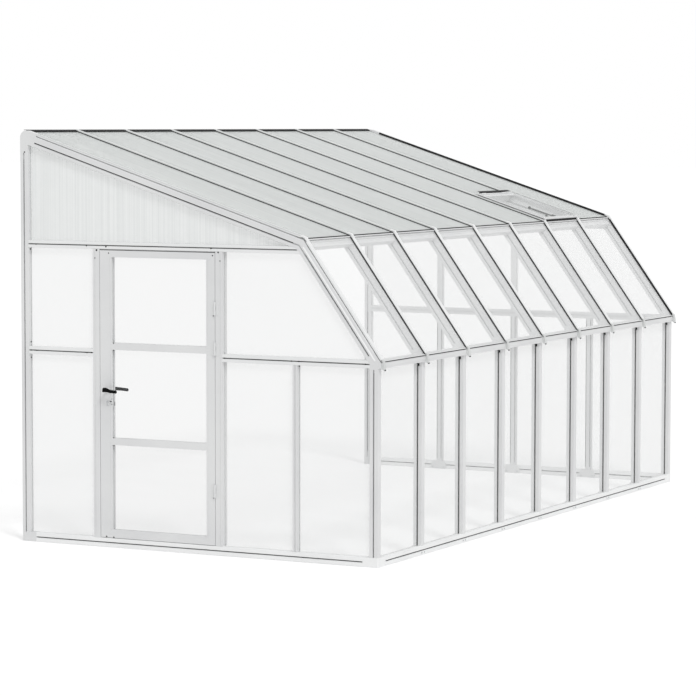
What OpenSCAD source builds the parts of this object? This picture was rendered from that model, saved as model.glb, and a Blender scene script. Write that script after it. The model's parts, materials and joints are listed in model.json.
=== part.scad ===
// Lean-to greenhouse of slotted resin bars with a bent glazed roof, a gable door and a roof vent.
// The origin is on the ground under the middle of the whole outline; +X runs along the length,
// the low glazed front faces -Y, the open side for the house wall faces +Y, the door faces -X.

/* [Plan] */
// Number of glazing bays along the length
bays = 8; // [4:1:10]
// Centre distance of neighbouring roof bars
bay = 610; // [580:5:640]
// Depth from the face of the front posts to the house wall
depth = 2566; // [2450:1:2700]
// Panes side by side in the far gable
far_bays = 4; // [4:1:5]

/* [Heights] */
// Height of the base rails
base_h = 59; // [56:1:62]
// How far the underside of the eave beam and mid rails lies below the top of the door opening
eave_drop = 679; // [665:1:690]
// Height of the mid rails and of the eave beam at its back
mid_h = 48; // [42:1:52]
// Height of the upper gable rail
upper_h = 44; // [40:1:48]

/* [Roof] */
// Pitch of the steep glazing above the eave, in degrees
steep_pitch = 54.1; // [53:0.1:55]
// Length of the steep glazing along its slope
steep_len = 909; // [900:1:920]
// Pitch of the roof, in degrees
roof_pitch = 17.77; // [17:0.01:18.5]
// How far the steep glazing stands in front of the posts at the eave
eave_out = 20; // [18:1:22]
// Height of the steep glazing's lower edge above the underside of the eave beam
eave_rise = 38; // [36:1:40]

/* [Bars] */
// Width of every bar
bar_w = 42; // [40:1:44]
// Depth of the posts
post_d = 58; // [56:1:60]
// Depth of the sloping bars below the sheet ledge
slope_d = 66; // [64:1:68]
// Width of the glazing slots
slot_w = 9; // [8.5:0.5:10]
// Depth of the glazing slots
slot_q = 10; // [9:0.5:11]
// Distance of the wall glazing behind the outer face
glaze_in = 31; // [29:0.5:32]
// Width of the caps over the sloping bars
cap_w = 30; // [28:1:34]
// Height of the caps over the sloping bars, with their gaskets
cap_h = 13; // [12:0.5:14]
// Height of the gasket strips under the caps
gasket_h = 6; // [5:0.5:7]

/* [Glazing] */
// Thickness of the clear panes
pane_t = 4; // [3:0.5:5]
// Thickness of the twin-wall sheets
sheet_t = 6; // [5.5:0.5:7]
// How far a pane reaches into its slot
pane_bite = 8; // [7:0.5:8.5]

/* [Door] */
// Width of the door leaf
leaf_w = 837; // [800:1:860]
// Height of the door leaf
leaf_h = 1827; // [1820:1:1832]
// Gap round the leaf
leaf_gap = 3; // [2.6:0.1:3.6]
// Distance of the hinge jamb's door side from the face of the front posts
door_y = 1131.5; // [1110:0.5:1150]
// Width of the door jambs
jamb_w = 50; // [46:1:54]
// Depth of the door jambs with their stop lips
jamb_d = 59; // [57:1:62]
// Thickness of the door leaf
leaf_t = 42; // [40:1:43]
// Width of the lock stile
lock_stile_w = 85; // [84:1:92]
// Width of the hinge stile
hinge_stile_w = 62; // [56:1:68]
// Height of the top rail of the leaf
top_rail_h = 43; // [40:1:48]
// Height of the bottom rail of the leaf
bottom_rail_h = 52; // [48:1:58]
// Height of the cross rails
cross_h = 44; // [40:1:48]
// Underside of the upper cross rail above the ground
cross_hi_z = 1260; // [1240:1:1280]
// Underside of the lower cross rail above the ground
cross_lo_z = 655; // [620:1:690]

/* [Hinges] */
// Height of a door hinge
hinge_h = 84; // [78:1:90]
// Radius of the hinge knuckles
knuckle_r = 6.5; // [6:0.1:7]
// Radius of the hinge pins
hinge_pin_r = 3; // [2.6:0.1:3.4]
// Radial running clearance of every pin
pin_play = 0.06; // [0.03:0.01:0.09]
// Thickness of the hinge leaves
hinge_leaf_t = 2.5; // [2:0.1:3]

/* [Lock] */
// Height of the handle spindle above the ground
spindle_z = 1001; // [985:1:1015]
// Distance of the spindle from the edge of the leaf
backset = 53; // [52:0.5:54]
// Distance of the key cylinder below the spindle
key_drop = 72; // [71:1:76]
// How far the levers stand off the leaf
lever_off = 50; // [46:1:54]
// Length of a lever from the spindle to its tip
lever_len = 97; // [85:1:105]
// Radius of the lever tube
lever_r = 7; // [6:0.5:7.5]
// Travel of the spring latch
latch_travel = 12; // [11.5:0.5:12]
// Travel of the deadbolt
bolt_travel = 20; // [16:0.5:21]

/* [Vent] */
// Bays between the vent and the far gable
vent_from_far = 1; // [1:1:2]
// Distance of the vent hinge from the bend, along the slope
vent_len = 566; // [556:1:580]
// Amount by which the lid is wider than a bay
vent_over = 10; // [8:1:11]
// Height of the vent hinge above the roof sheets
vent_pin_h = 20; // [19.5:0.5:21]

/* [Hidden] */
$fn = 48;

// Clearance of parts that pass each other, and the chamfer of the bar sections
fit = 0.3;
chamfer = 2;
// Hairline between a soft strip and the faces that it seals
hair = 0.03;
half_w = bar_w / 2;
cap_half = cap_w / 2;
length = bays * bay + bar_w;

// Heights of the door opening, the upper rail over it and the mid rails
head_t = 5;
door_z = base_h + leaf_gap;
leaf_top = door_z + leaf_h;
head_z = leaf_top + leaf_gap;
upper_z = head_z + head_t;
mid_z = head_z - eave_drop;

// The roof planes are lines in the Y-Z plane at the top of the sheets
eave_z = mid_z + eave_rise;
bend_y = -eave_out + steep_len * cos(steep_pitch);
bend_z = eave_z + steep_len * sin(steep_pitch);
wall_y = depth - post_d;
bar_low = sheet_t + slope_d;
roof_len = (wall_y - bend_y) / cos(roof_pitch);

// Height at depth y of the line that lies h below each roof plane
function steep_z(y, h) = eave_z + (y + eave_out) * tan(steep_pitch) - h / cos(steep_pitch);
function roof_z(y, h) = bend_z + (y - bend_y) * tan(roof_pitch) - h / cos(roof_pitch);
// Depth at height z of the line that lies h below the steep plane
function steep_y(z, h) = (z - eave_z + h / cos(steep_pitch)) / tan(steep_pitch) - eave_out;
// Point s up each slope and h below its plane, as [y, z]
function steep_pt(s, h) = [-eave_out + s * cos(steep_pitch) + h * sin(steep_pitch),
                           eave_z + s * sin(steep_pitch) - h * cos(steep_pitch)];
function roof_pt(s, h) = [bend_y + s * cos(roof_pitch) + h * sin(roof_pitch),
                          bend_z + s * sin(roof_pitch) - h * cos(roof_pitch)];
// Distance from the bend, along the roof, of the corner that lies h below both planes
function bend_s(h) = h * tan((steep_pitch - roof_pitch) / 2);
// Corner of the two lines that lie h below the planes
function bend_pt(h) =
    let (d = h * (1 / cos(steep_pitch) - 1 / cos(roof_pitch)) / (tan(steep_pitch) - tan(roof_pitch)))
    [bend_y + d, roof_z(bend_y + d, h)];

// Hooks over the eave and the outside lever reach furthest out
hook_out = eave_out + 16;
hook_len = 14;
lever_reach = lever_off + lever_r + 1;
corner_lip = 1.5;
mid_x = (length + corner_lip - lever_reach) / 2;
mid_y = (depth - hook_out) / 2;

// Lengths of the elbows and corner pieces along the members
corner_leg = 104;
elbow_leg = 78;
elbow_z = mid_z - 8;
steep_end = steep_len - elbow_leg;
rafter_start = 62;
top_leg = 66;
knuckle_len = 26;

// Slot of the sloping bars, and the spine between the sheets
slope_slot = 41;
spine_w = 8;
spine_h = 9;
pane_edge = spine_w / 2 + 3;

// Wall header
header_low = roof_z(wall_y, bar_low);
top_corner_z = header_low - 50;
sheet_end = (depth - 30 - bend_y) / cos(roof_pitch);
cap_end = (depth - 26 - bend_y) / cos(roof_pitch);
rake_end = roof_len - top_leg;

// Door
jamb_far_y = door_y + leaf_w + 2 * leaf_gap;
leaf_y0 = door_y + leaf_gap;
leaf_y1 = leaf_y0 + leaf_w;
seal_t = 3;
stop_x = leaf_t + seal_t;
stop_lip = 8;
head_recess = 16;
hinge_x = -knuckle_r - 0.2;
hinge_y = door_y + leaf_gap / 2;
hinge_zs = [362, 1251, 1503];

// Lock
lock_x = leaf_t / 2;
spindle_y = leaf_y1 - backset;
key_z = spindle_z - key_drop;
face_t = 2.5;
face_w = 20;
face_over = 23;
case_wall = 1.5;
case_w = 16;
case_back = leaf_y1 - 75.5;
case_z0 = key_z - 40;
case_z1 = spindle_z + 52;
latch_z0 = spindle_z + 12;
latch_h = 16;
latch_w = 12;
bolt_z0 = key_z + 16;
bolt_h = 24;
bolt_w = 10;
spindle_w = 8;
hub_r = 9;
cam_r = 13;
barrel_r = 8.5;
plug_r = 6;
lobe_w = 10;
lobe_drop = 25;
barrel_out = 4;
rose_t = 6;
strike_w = 22;
strike_h = 150;
strike_t = 2;

// Vent
vent_bay = bays - 1 - vent_from_far;
vent_x0 = vent_bay * bay + half_w;
vent_x1 = vent_x0 + bay;
vent_xc = (vent_x0 + vent_x1) / 2;
vent_end = vent_len + 10;
curb_top = 14;
curb_t = 18;
curb_low_s = 29;
curb_x = spine_w / 2 + 1;
lid_low = 16;
lid_top = 26;
lid_rear = vent_len - 9;
lid_front = -5;
lid_border = 12;
lid_lip = 6;
lid_frame_w = 45;
vent_knuckle_r = 5;
vent_pin_r = 2.5;
vent_knuckle_w = 30;
half_cap = 7;

// Vent stay: pivots as [distance up the slope, height above the sheets]
stay_lid_pt = [62, 9];
stay_frame_pt = [112, 9];
stay_knee_pt = [264, 8];
link_t = 6;
link_w = 9;
link_eye_r = 7;
link_gap = 2;
knee_pin_r = 3;
knee_play = 4.5;
stay_pin_r = 2.5;

// Far gable posts and their feet
far_foot_t = 12;
mullion_w = 32;
mullion_y = 571;
foot_half = 62;
screw_r = 2.5;
rail_screw_r = 2;
screw_len = 20;
wall_bolt_r = 4;
wall_bolt_z = [500, 2000];

function far_post_y(k) = post_d / 2 + k * (depth - post_d) / far_bays;

module place() {
    translate([-mid_x, -mid_y, 0]) children();
}

// Bar section: x across the width, y inward from the outer face
module bar_2d(d, slot_y, back_slot = 0, spine = 0) {
    w = half_w;
    c = chamfer;
    difference() {
        union() {
            polygon([[c - w, 0], [w - c, 0], [w, c], [w, d - c],
                     [w - c, d], [c - w, d], [-w, d - c], [-w, c]]);
            if (spine > 0) translate([-spine_w / 2, -spine]) square([spine_w, spine + c]);
        }
        for (side = [-1, 1]) translate([side * w, slot_y]) square([2 * slot_q, slot_w], center = true);
        if (back_slot != 0) translate([back_slot, d]) square([slot_w, 2 * slot_q], center = true);
    }
}

// Rail section: x inward from the outer face, y upward
module rail_2d(h, top = true, bottom = true) {
    w = bar_w;
    c = chamfer;
    difference() {
        polygon([[c, 0], [w - c, 0], [w, c], [w, h - c], [w - c, h], [c, h], [0, h - c], [0, c]]);
        for (u = [0, w]) translate([u, h / 2]) square([slot_q, slot_w], center = true);
        if (top) translate([glaze_in, h]) square([slot_w, 2 * slot_q], center = true);
        if (bottom) translate([glaze_in, 0]) square([slot_w, 2 * slot_q], center = true);
    }
}

// Gable post section: x inward from the outer face, y across the width
module mullion_2d(w) {
    difference() {
        translate([0, -w / 2]) square([bar_w, w]);
        for (side = [-1, 1]) translate([glaze_in, side * w / 2]) square([slot_w, 2 * slot_q], center = true);
        square([slot_q, slot_w], center = true);
    }
}

// Extrudes a section of the Y-Z plane from x0 to x1
module along_x(x0, x1) {
    translate([x0, 0, 0]) rotate([90, 0, 90]) linear_extrude(x1 - x0) children();
}

// Extrudes a section of the X-Z plane from y0 to y1
module along_y(y0, y1) {
    translate([0, y1, 0]) rotate([90, 0, 0]) linear_extrude(y1 - y0) children();
}

// Frames whose z runs up a slope and whose y runs below its plane
module on_steep() {
    translate([0, -eave_out, eave_z]) rotate([steep_pitch - 90, 0, 0]) children();
}

module on_roof() {
    translate([0, bend_y, bend_z]) rotate([roof_pitch - 90, 0, 0]) children();
}

// Mirrors a piece of the near gable to the far gable
module far_side() {
    translate([length, 0, 0]) mirror([1, 0, 0]) children();
}

module both_ends() {
    children();
    far_side() children();
}

module at_bars(from = 0, to = bays) {
    for (i = [from:to]) translate([i * bay + half_w, 0, 0]) children();
}

// Outline inside the end frame, pushed outward by g into the bars
module inner_2d(g) {
    low = bar_low - g;
    polygon([[post_d - g, -1], [wall_y + g, -1], [wall_y + g, roof_z(wall_y + g, low)], bend_pt(low),
             [post_d - g, steep_z(post_d - g, low)]]);
}

// Slot of the gable glazing in the pieces of an end frame
module gable_slot() {
    along_x(glaze_in - slot_w / 2, glaze_in + slot_w / 2) inner_2d(slot_q);
}

// Pan-head screw seated on z = 0, its shank along -z
module screw(r) {
    cylinder(r = 2 * r, h = r);
    translate([0, 0, -screw_len]) cylinder(r = r, h = screw_len + 0.5);
}

module screw_hole(r) {
    translate([0, 0, -screw_len - 0.5]) cylinder(r = r + 0.05, h = screw_len + 0.6);
}

// Base

module foot_screw_places() {
    z = base_h / 4;
    at_bars(1, bays - 1) for (dx = [-45, 45]) translate([dx, post_d, z]) rotate([-90, 0, 0]) children();
    for (k = [1:far_bays - 1], dy = [-45, 45])
        translate([length - bar_w - far_foot_t, far_post_y(k) + dy, z]) rotate([0, -90, 0]) children();
    at_bars(1, bays - 1) for (dx = [-17, 17]) translate([dx, 0, z]) rotate([90, 0, 0]) children();
}

module base_rails() {
    color("whitesmoke") place() difference() {
        union() {
            along_x(corner_leg, length - corner_leg) rail_2d(base_h, bottom = false);
            both_ends() along_y(corner_leg, depth - corner_leg) rail_2d(base_h, bottom = false);
        }
        foot_screw_places() screw_hole(screw_r);
    }
}

// Corner sleeve that takes both base rails and carries the corner post
module base_corner() {
    out = -corner_lip;
    in = bar_w + corner_lip;
    leg = corner_leg;
    difference() {
        linear_extrude(base_h) polygon([[3, out], [leg, out], [leg, in], [in + 20, in], [in, in + 20],
                                        [in, leg], [out, leg], [out, 3]]);
        translate([bar_w - slot_q, glaze_in - slot_w / 2, base_h - slot_q]) cube([leg, slot_w, slot_q + 1]);
        translate([glaze_in - slot_w / 2, post_d - slot_q, base_h - slot_q]) cube([slot_w, leg, slot_q + 1]);
    }
}

module base_corners() {
    color("whitesmoke") place() both_ends() base_corner();
}

module wall_foot() {
    out = -corner_lip;
    y0 = depth - corner_leg;
    difference() {
        linear_extrude(base_h) polygon([[out, y0], [bar_w + corner_lip, y0], [bar_w + corner_lip, depth],
                                        [3, depth], [out, depth - 3]]);
        translate([glaze_in - slot_w / 2, y0 - 1, base_h - slot_q])
            cube([slot_w, corner_leg - post_d + slot_q + 1, slot_q + 1]);
    }
}

module wall_feet() {
    color("whitesmoke") place() both_ends() wall_foot();
}

// Foot with sloping shoulders behind a post, drawn across x and rising in z
module tee_foot(t) {
    w = foot_half;
    rotate([90, 0, 180]) linear_extrude(t) polygon([[-w, 0], [w, 0], [w, base_h * 0.6], [w - 16, base_h],
                                                    [16 - w, base_h], [-w, base_h * 0.6]]);
}

module post_feet() {
    color("whitesmoke") place() difference() {
        union() {
            at_bars(1, bays - 1) translate([0, bar_w, 0]) tee_foot(post_d - bar_w);
            for (k = [1:far_bays - 1])
                translate([length - bar_w, far_post_y(k), 0]) rotate([0, 0, 90]) tee_foot(far_foot_t);
        }
        foot_screw_places() screw_hole(screw_r);
    }
}

module foot_screws() {
    color("silver") place() foot_screw_places() screw(screw_r);
}

// Posts and header

module corner_posts() {
    color("whitesmoke") place() both_ends() translate([half_w, 0, base_h]) linear_extrude(elbow_z - base_h)
        bar_2d(post_d, glaze_in, back_slot = glaze_in - half_w);
}

module front_posts() {
    color("whitesmoke") place() at_bars(1, bays - 1) translate([0, 0, base_h])
        linear_extrude(elbow_z - base_h) bar_2d(post_d, glaze_in);
}

module wall_post() {
    difference() {
        translate([half_w, depth, base_h]) rotate([0, 0, 180]) linear_extrude(top_corner_z - base_h)
            bar_2d(post_d, post_d - glaze_in, back_slot = half_w - glaze_in);
        for (z = wall_bolt_z) translate([half_w, depth + 1, z]) rotate([90, 0, 0])
            cylinder(r = wall_bolt_r, h = post_d + 2);
    }
}

module wall_posts() {
    color("whitesmoke") place() both_ends() wall_post();
}

// Rounded connector of the wall post and the end rafter, level with the cap and open to the roof sheet
module top_corner() {
    r = 45;
    y = depth - r;
    z = roof_z(y, r - cap_h);
    s0 = rake_end - 1;
    s1 = sheet_end + fit;
    difference() {
        along_x(0, bar_w) union() {
            polygon([[wall_y, top_corner_z], [depth, top_corner_z], [depth, z],
                     [y - r * sin(roof_pitch), z + r * cos(roof_pitch)], roof_pt(rake_end, -cap_h),
                     roof_pt(rake_end, bar_low), [wall_y, roof_z(wall_y, bar_low)]]);
            translate([y, z]) circle(r = r, $fn = 64);
        }
        gable_slot();
        along_x(half_w + pane_edge - fit, bar_w + 1)
            polygon([roof_pt(s0, -fit), roof_pt(s1, -fit), roof_pt(s1, sheet_t), roof_pt(s0, sheet_t)]);
    }
}

module top_corners() {
    color("whitesmoke") place() both_ends() top_corner();
}

module wall_header() {
    back = roof_z(depth, sheet_t) - 12;
    step_y = depth - 24;
    color("whitesmoke") place() difference() {
        along_x(bar_w, length - bar_w) polygon([[wall_y, header_low], [depth, header_low], [depth, back],
            [step_y, back], [step_y, roof_z(step_y, sheet_t)], [wall_y, roof_z(wall_y, sheet_t)]]);
        along_x(0, length) translate([wall_y, header_low + 30]) square([2 * slot_q, slot_w], center = true);
    }
}

// Dark folded strip over the upper edges of the roof sheets, standing on the header
module wall_flashing() {
    t = 3;
    y0 = depth - 44;
    y1 = depth - 22;
    top = roof_z(y1, -gasket_h - t);
    back = roof_z(depth, sheet_t) - 12;
    beside = half_w + cap_half + 1;
    color("dimgray") place() for (i = [0:bays - 1]) {
        x0 = i * bay + (i == 0 ? bar_w + 1 : beside);
        x1 = (i + 1) * bay + (i == bays - 1 ? -1 : bar_w - beside);
        along_x(x0, x1) polygon([[y0, roof_z(y0, -gasket_h)], [y1 - t, roof_z(y1 - t, -gasket_h)], [y1 - t, back + 14],
                 [y1, back + 14], [y1, back], [y1 + t, back], [y1 + t, top - t], [depth - 1, top - t],
                 [depth - 1, top], [y1, top], [y0, roof_z(y0, -gasket_h - t)]]);
    }
}

// Eave

nose_y = 3 - eave_out;
nose_z = steep_pt(0, sheet_t)[1] - 1;

module eave_beam() {
    color("whitesmoke") place() for (i = [0:bays - 1]) along_x(i * bay + bar_w, (i + 1) * bay) difference() {
        polygon([[nose_y, mid_z], [post_d, mid_z], [post_d, mid_z + mid_h],
                 [steep_y(mid_z + mid_h, sheet_t), mid_z + mid_h], steep_pt(2, sheet_t), [nose_y, nose_z]]);
        translate([glaze_in, mid_z]) square([slot_w, 2 * slot_q], center = true);
        translate([post_d, mid_z + mid_h / 2]) square([slot_q, slot_w], center = true);
        translate([nose_y, mid_z + 10]) square([2, 2], center = true);
    }
}

// Elbow that joins a post, the eave beam and a steep bar
module eave_elbow() {
    along_x(-half_w, half_w) polygon([[0, elbow_z], [post_d, elbow_z], [post_d, steep_z(post_d, bar_low)],
        steep_pt(elbow_leg, bar_low), steep_pt(elbow_leg, sheet_t), steep_pt(2, sheet_t), [nose_y, nose_z],
        [nose_y, mid_z], [0, mid_z]]);
}

module eave_elbows() {
    color("whitesmoke") place() {
        at_bars(1, bays - 1) eave_elbow();
        both_ends() difference() {
            translate([half_w, 0, 0]) eave_elbow();
            gable_slot();
        }
    }
}

// Sloping bars

module slope_bar(s0, s1, back_slot = 0) {
    translate([0, sheet_t, s0]) linear_extrude(s1 - s0)
        bar_2d(slope_d, slope_slot, back_slot = back_slot, spine = spine_h);
}

module steep_bars() {
    color("whitesmoke") place() {
        at_bars(1, bays - 1) on_steep() slope_bar(elbow_leg, steep_end);
        both_ends() translate([half_w, 0, 0]) on_steep() slope_bar(elbow_leg, steep_end, glaze_in - half_w);
    }
}

// The inner rafters end upright against the wall header
module rafters() {
    color("whitesmoke") place() {
        difference() {
            at_bars(1, bays - 1) on_roof() slope_bar(rafter_start, roof_len + 30);
            translate([0, wall_y, 0]) cube([length, 2 * post_d, 2 * bend_z]);
        }
        both_ends() translate([half_w, 0, 0]) on_roof() slope_bar(rafter_start, rake_end, glaze_in - half_w);
    }
}

// Elbow at the bend, with the groove of the bars running round it
module bend_elbow() {
    g0 = sheet_t + slope_slot - slot_w / 2;
    g1 = g0 + slot_w;
    difference() {
        along_x(-half_w, half_w) polygon([steep_pt(steep_end, sheet_t), bend_pt(sheet_t),
            roof_pt(rafter_start, sheet_t), roof_pt(rafter_start, bar_low), bend_pt(bar_low),
            steep_pt(steep_end, bar_low)]);
        for (x = [-half_w - 1, half_w - slot_q]) along_x(x, x + slot_q + 1)
            polygon([steep_pt(steep_end - 9, g0), bend_pt(g0), roof_pt(rafter_start + 9, g0),
                     roof_pt(rafter_start + 9, g1), bend_pt(g1), steep_pt(steep_end - 9, g1)]);
    }
}

module bend_elbows() {
    color("whitesmoke") place() {
        at_bars(1, bays - 1) bend_elbow();
        both_ends() difference() {
            translate([half_w, 0, 0]) bend_elbow();
            gable_slot();
        }
    }
}

// Purlin under the bend, its wide face behind the top of the steep panes
module bend_purlins() {
    wide = 58;
    deep = 40;
    s0 = steep_len - wide;
    s_mid = steep_len - wide / 2;
    color("whitesmoke") place() for (i = [0:bays - 1]) along_x(i * bay + bar_w, (i + 1) * bay) difference() {
        polygon([bend_pt(sheet_t), steep_pt(s0, sheet_t), steep_pt(s0, sheet_t + deep),
                 bend_pt(sheet_t + deep)]);
        for (h = [sheet_t, sheet_t + deep]) polygon([for (c = [[-1, -1], [1, -1], [1, 1], [-1, 1]])
            steep_pt(s_mid + c[0] * slot_w / 2, h + c[1] * slot_q / 2)]);
    }
}

// Caps

// Snap cap: a crowned strip whose two legs grip the spine of the bar
module cap_2d() {
    w = cap_half;
    grip = spine_w / 2 + fit;
    leg = grip + 2;
    polygon([[-w, -gasket_h], [-w, 2 - cap_h], [3 - w, -cap_h], [w - 3, -cap_h], [w, 2 - cap_h],
             [w, -gasket_h], [leg, -gasket_h], [leg, 0], [grip, 0], [grip, 4 - cap_h], [-grip, 4 - cap_h],
             [-grip, 0], [-leg, 0], [-leg, -gasket_h]]);
}

module steep_caps() {
    color("white") place() at_bars() on_steep() translate([0, 0, hook_len])
        linear_extrude(steep_len - knuckle_len - hook_len) cap_2d();
}

// Narrow cap beside the vent, over the edge of the neighbouring sheet only
module vent_side_cap() {
    x0 = -cap_half;
    x1 = -half_cap;
    leg = 1.2;
    translate([0, 0, knuckle_len]) linear_extrude(vent_end - knuckle_len)
        polygon([[x0, -gasket_h], [x0, 2 - cap_h], [x0 + 3, -cap_h], [x1, -cap_h], [x1, 0], [x1 - leg, 0],
                 [x1 - leg, -gasket_h]]);
}

module roof_caps() {
    color("white") place() {
        for (i = [0:bays]) {
            start = (i == vent_bay || i == vent_bay + 1) ? vent_end : knuckle_len;
            end = (i == 0 || i == bays) ? rake_end : cap_end;
            translate([i * bay + half_w, 0, 0]) on_roof() translate([0, 0, start])
                linear_extrude(end - start) cap_2d();
        }
        translate([vent_x0, 0, 0]) on_roof() vent_side_cap();
        translate([vent_x1, 0, 0]) mirror([1, 0, 0]) on_roof() vent_side_cap();
    }
}

// Hook that closes the lower end of a steep cap and turns down over the eave beam
module cap_hook() {
    along_x(2 - cap_half, cap_half - 2) polygon([steep_pt(hook_len, -gasket_h), steep_pt(hook_len, -cap_h),
        steep_pt(4, -cap_h - 1), [-hook_out, mid_z + 12], [-hook_out, mid_z - 6], [7 - hook_out, mid_z - 9],
        [nose_y, mid_z], [nose_y, nose_z - 3], steep_pt(-3, 0), steep_pt(-3, -gasket_h)]);
}

module cap_hooks() {
    color("white") place() at_bars() cap_hook();
}

// Cover over the joint of a steep cap and a roof cap
module bend_knuckle() {
    top = cap_h + 1;
    low = gasket_h;
    along_x(-cap_half, cap_half) polygon([steep_pt(steep_len - knuckle_len, -low),
        steep_pt(steep_len - knuckle_len, -top), bend_pt(-top), roof_pt(knuckle_len, -top),
        roof_pt(knuckle_len, -low), bend_pt(-low)]);
}

module bend_knuckles() {
    color("white") place() at_bars() bend_knuckle();
}

// Gable rails and posts

module near_rails() {
    color("whitesmoke") place() difference() {
        intersection() {
            union() {
                translate([0, 0, mid_z]) {
                    along_y(0, door_y - jamb_w) rail_2d(mid_h);
                    along_y(jamb_far_y + jamb_w, depth) rail_2d(mid_h);
                }
                translate([0, 0, upper_z]) along_y(0, depth) rail_2d(upper_h);
            }
            along_x(-1, bar_w + 1) inner_2d(0);
        }
        rail_screw_places() screw_hole(rail_screw_r);
    }
}

// Screws in the groove of the near mid rail: beside the mullion and at the rail ends
module rail_screw_places() {
    ys = [mullion_y - 26, mullion_y + 26, post_d + 30, door_y - jamb_w - 14, jamb_far_y + jamb_w + 14,
          wall_y - 14];
    for (y = ys) translate([slot_q / 2, y, mid_z + mid_h / 2]) rotate([0, -90, 0]) children();
}

module rail_screws() {
    color("silver") place() rail_screw_places() screw(rail_screw_r);
}

module near_mullion() {
    color("whitesmoke") place() translate([0, mullion_y, base_h]) linear_extrude(mid_z - base_h)
        mullion_2d(mullion_w);
}

module far_rails() {
    color("whitesmoke") place() intersection() {
        far_side() {
            translate([0, 0, mid_z]) along_y(0, depth) rail_2d(mid_h);
            translate([0, 0, upper_z]) along_y(0, depth) rail_2d(upper_h);
        }
        along_x(length - bar_w - 1, length + 1) inner_2d(0);
    }
}

module far_posts() {
    color("whitesmoke") place() far_side() for (k = [1:far_bays - 1]) translate([0, far_post_y(k), 0]) {
        translate([0, 0, base_h]) linear_extrude(mid_z - base_h) mullion_2d(bar_w);
        if (k > 1) translate([0, 0, mid_z + mid_h]) linear_extrude(upper_z - mid_z - mid_h) mullion_2d(bar_w);
    }
}

// Door frame

// Plan section of the lock-side jamb, with its stop lip, glazing slot and face groove
module jamb_2d() {
    difference() {
        union() {
            square([jamb_d, jamb_w]);
            translate([stop_x, -stop_lip]) square([jamb_d - stop_x, stop_lip + 1]);
        }
        translate([glaze_in, jamb_w]) square([slot_w, 2 * slot_q], center = true);
        translate([0, jamb_w - 15]) square([3, 2], center = true);
    }
}

module door_jambs() {
    color("whitesmoke") place() {
        difference() {
            translate([0, jamb_far_y, base_h]) linear_extrude(upper_z - base_h) jamb_2d();
            strike_box(strike_w, strike_t, strike_h);
            strike_box(strike_w - 4, bolt_travel + 4, strike_h - 24);
        }
        translate([0, door_y, base_h]) mirror([0, 1, 0]) linear_extrude(upper_z - base_h) jamb_2d();
    }
}

strike_z = (latch_z0 + latch_h + bolt_z0) / 2;

// Recess in the lock jamb, half the given height above and below the middle of the bolts
module strike_box(wide, deep, high) {
    translate([lock_x - wide / 2, jamb_far_y - 0.01, strike_z - high / 2]) cube([wide, deep + 0.01, high]);
}

module strike_plate() {
    wide = strike_w - fit;
    high = strike_h - fit;
    grow = 1.5;
    color("silver") place() difference() {
        translate([lock_x - wide / 2, jamb_far_y, strike_z - high / 2]) cube([wide, strike_t, high]);
        bolt_window(latch_w, latch_z0, latch_h, grow, jamb_far_y - 1, strike_t + 2);
        bolt_window(bolt_w, bolt_z0, bolt_h, grow, jamb_far_y - 1, strike_t + 2);
    }
}

// Opening for a bolt, larger by grow all round
module bolt_window(w, z0, h, grow, y0, deep) {
    translate([lock_x - w / 2 - grow, y0, z0 - grow]) cube([w + 2 * grow, deep, h + 2 * grow]);
}

// Head set back under the upper rail, with its stop lip
module door_head() {
    color("whitesmoke") place() {
        along_y(door_y, jamb_far_y) translate([head_recess, head_z]) square([stop_x - head_recess, head_t]);
        along_y(door_y + stop_lip, jamb_far_y - stop_lip)
            translate([stop_x, head_z - stop_lip]) square([jamb_d - stop_x, stop_lip + head_t]);
    }
}

// Stop behind the base rail at the threshold
module door_sill() {
    color("whitesmoke") place() along_y(door_y + stop_lip, jamb_far_y - stop_lip)
        polygon([[bar_w, base_h - 19], [jamb_d, base_h - 19], [jamb_d, base_h + stop_lip],
                 [stop_x, base_h + stop_lip], [stop_x, base_h], [bar_w, base_h]]);
}

module door_seal() {
    wide = stop_lip - leaf_gap - 1;
    y0 = leaf_y0 + 0.5;
    y1 = leaf_y1 - 0.5;
    z0 = door_z + 0.5;
    z1 = leaf_top - 0.5;
    color("dimgray") place() along_x(leaf_t + fit, stop_x) difference() {
        translate([y0, z0]) square([y1 - y0, z1 - z0]);
        translate([y0 + wide, z0 + wide]) square([y1 - y0 - 2 * wide, z1 - z0 - 2 * wide]);
    }
}

// Hinges

knuckle_h = hinge_h / 3;
hinge_wing = 26;

module at_hinges() {
    for (z = hinge_zs) translate([hinge_x, hinge_y, z]) children();
}

// Knuckle and wing of one hinge segment, the wing lying on the face x = 0 towards side
module hinge_segment(side, z0, h) {
    translate([0, 0, z0]) {
        difference() {
            cylinder(r = knuckle_r, h = h);
            translate([0, 0, -1]) cylinder(r = hinge_pin_r + pin_play, h = h + 2);
        }
        difference() {
            translate([-hinge_x - hinge_leaf_t, side > 0 ? 1.5 : -hinge_wing, 0])
                cube([hinge_leaf_t, hinge_wing - 1.5, h]);
            translate([0, 0, -1]) cylinder(r = knuckle_r - 1, h = h + 2);
        }
    }
}

// The wing runs the whole height, clear of the other leaf's knuckles
module hinge_wing_plate(side) {
    y0 = knuckle_r + 1;
    translate([-hinge_x - hinge_leaf_t, side > 0 ? y0 : -hinge_wing, 0])
        cube([hinge_leaf_t, hinge_wing - y0, hinge_h]);
}

module hinge_frame_leaves() {
    color("whitesmoke") place() at_hinges() union() {
        hinge_wing_plate(-1);
        hinge_segment(-1, 0, knuckle_h - fit);
        hinge_segment(-1, 2 * knuckle_h + fit, knuckle_h - fit);
    }
}

module hinge_door_leaves() {
    color("whitesmoke") place() at_hinges() union() {
        hinge_wing_plate(1);
        hinge_segment(1, knuckle_h, knuckle_h);
    }
}

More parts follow.
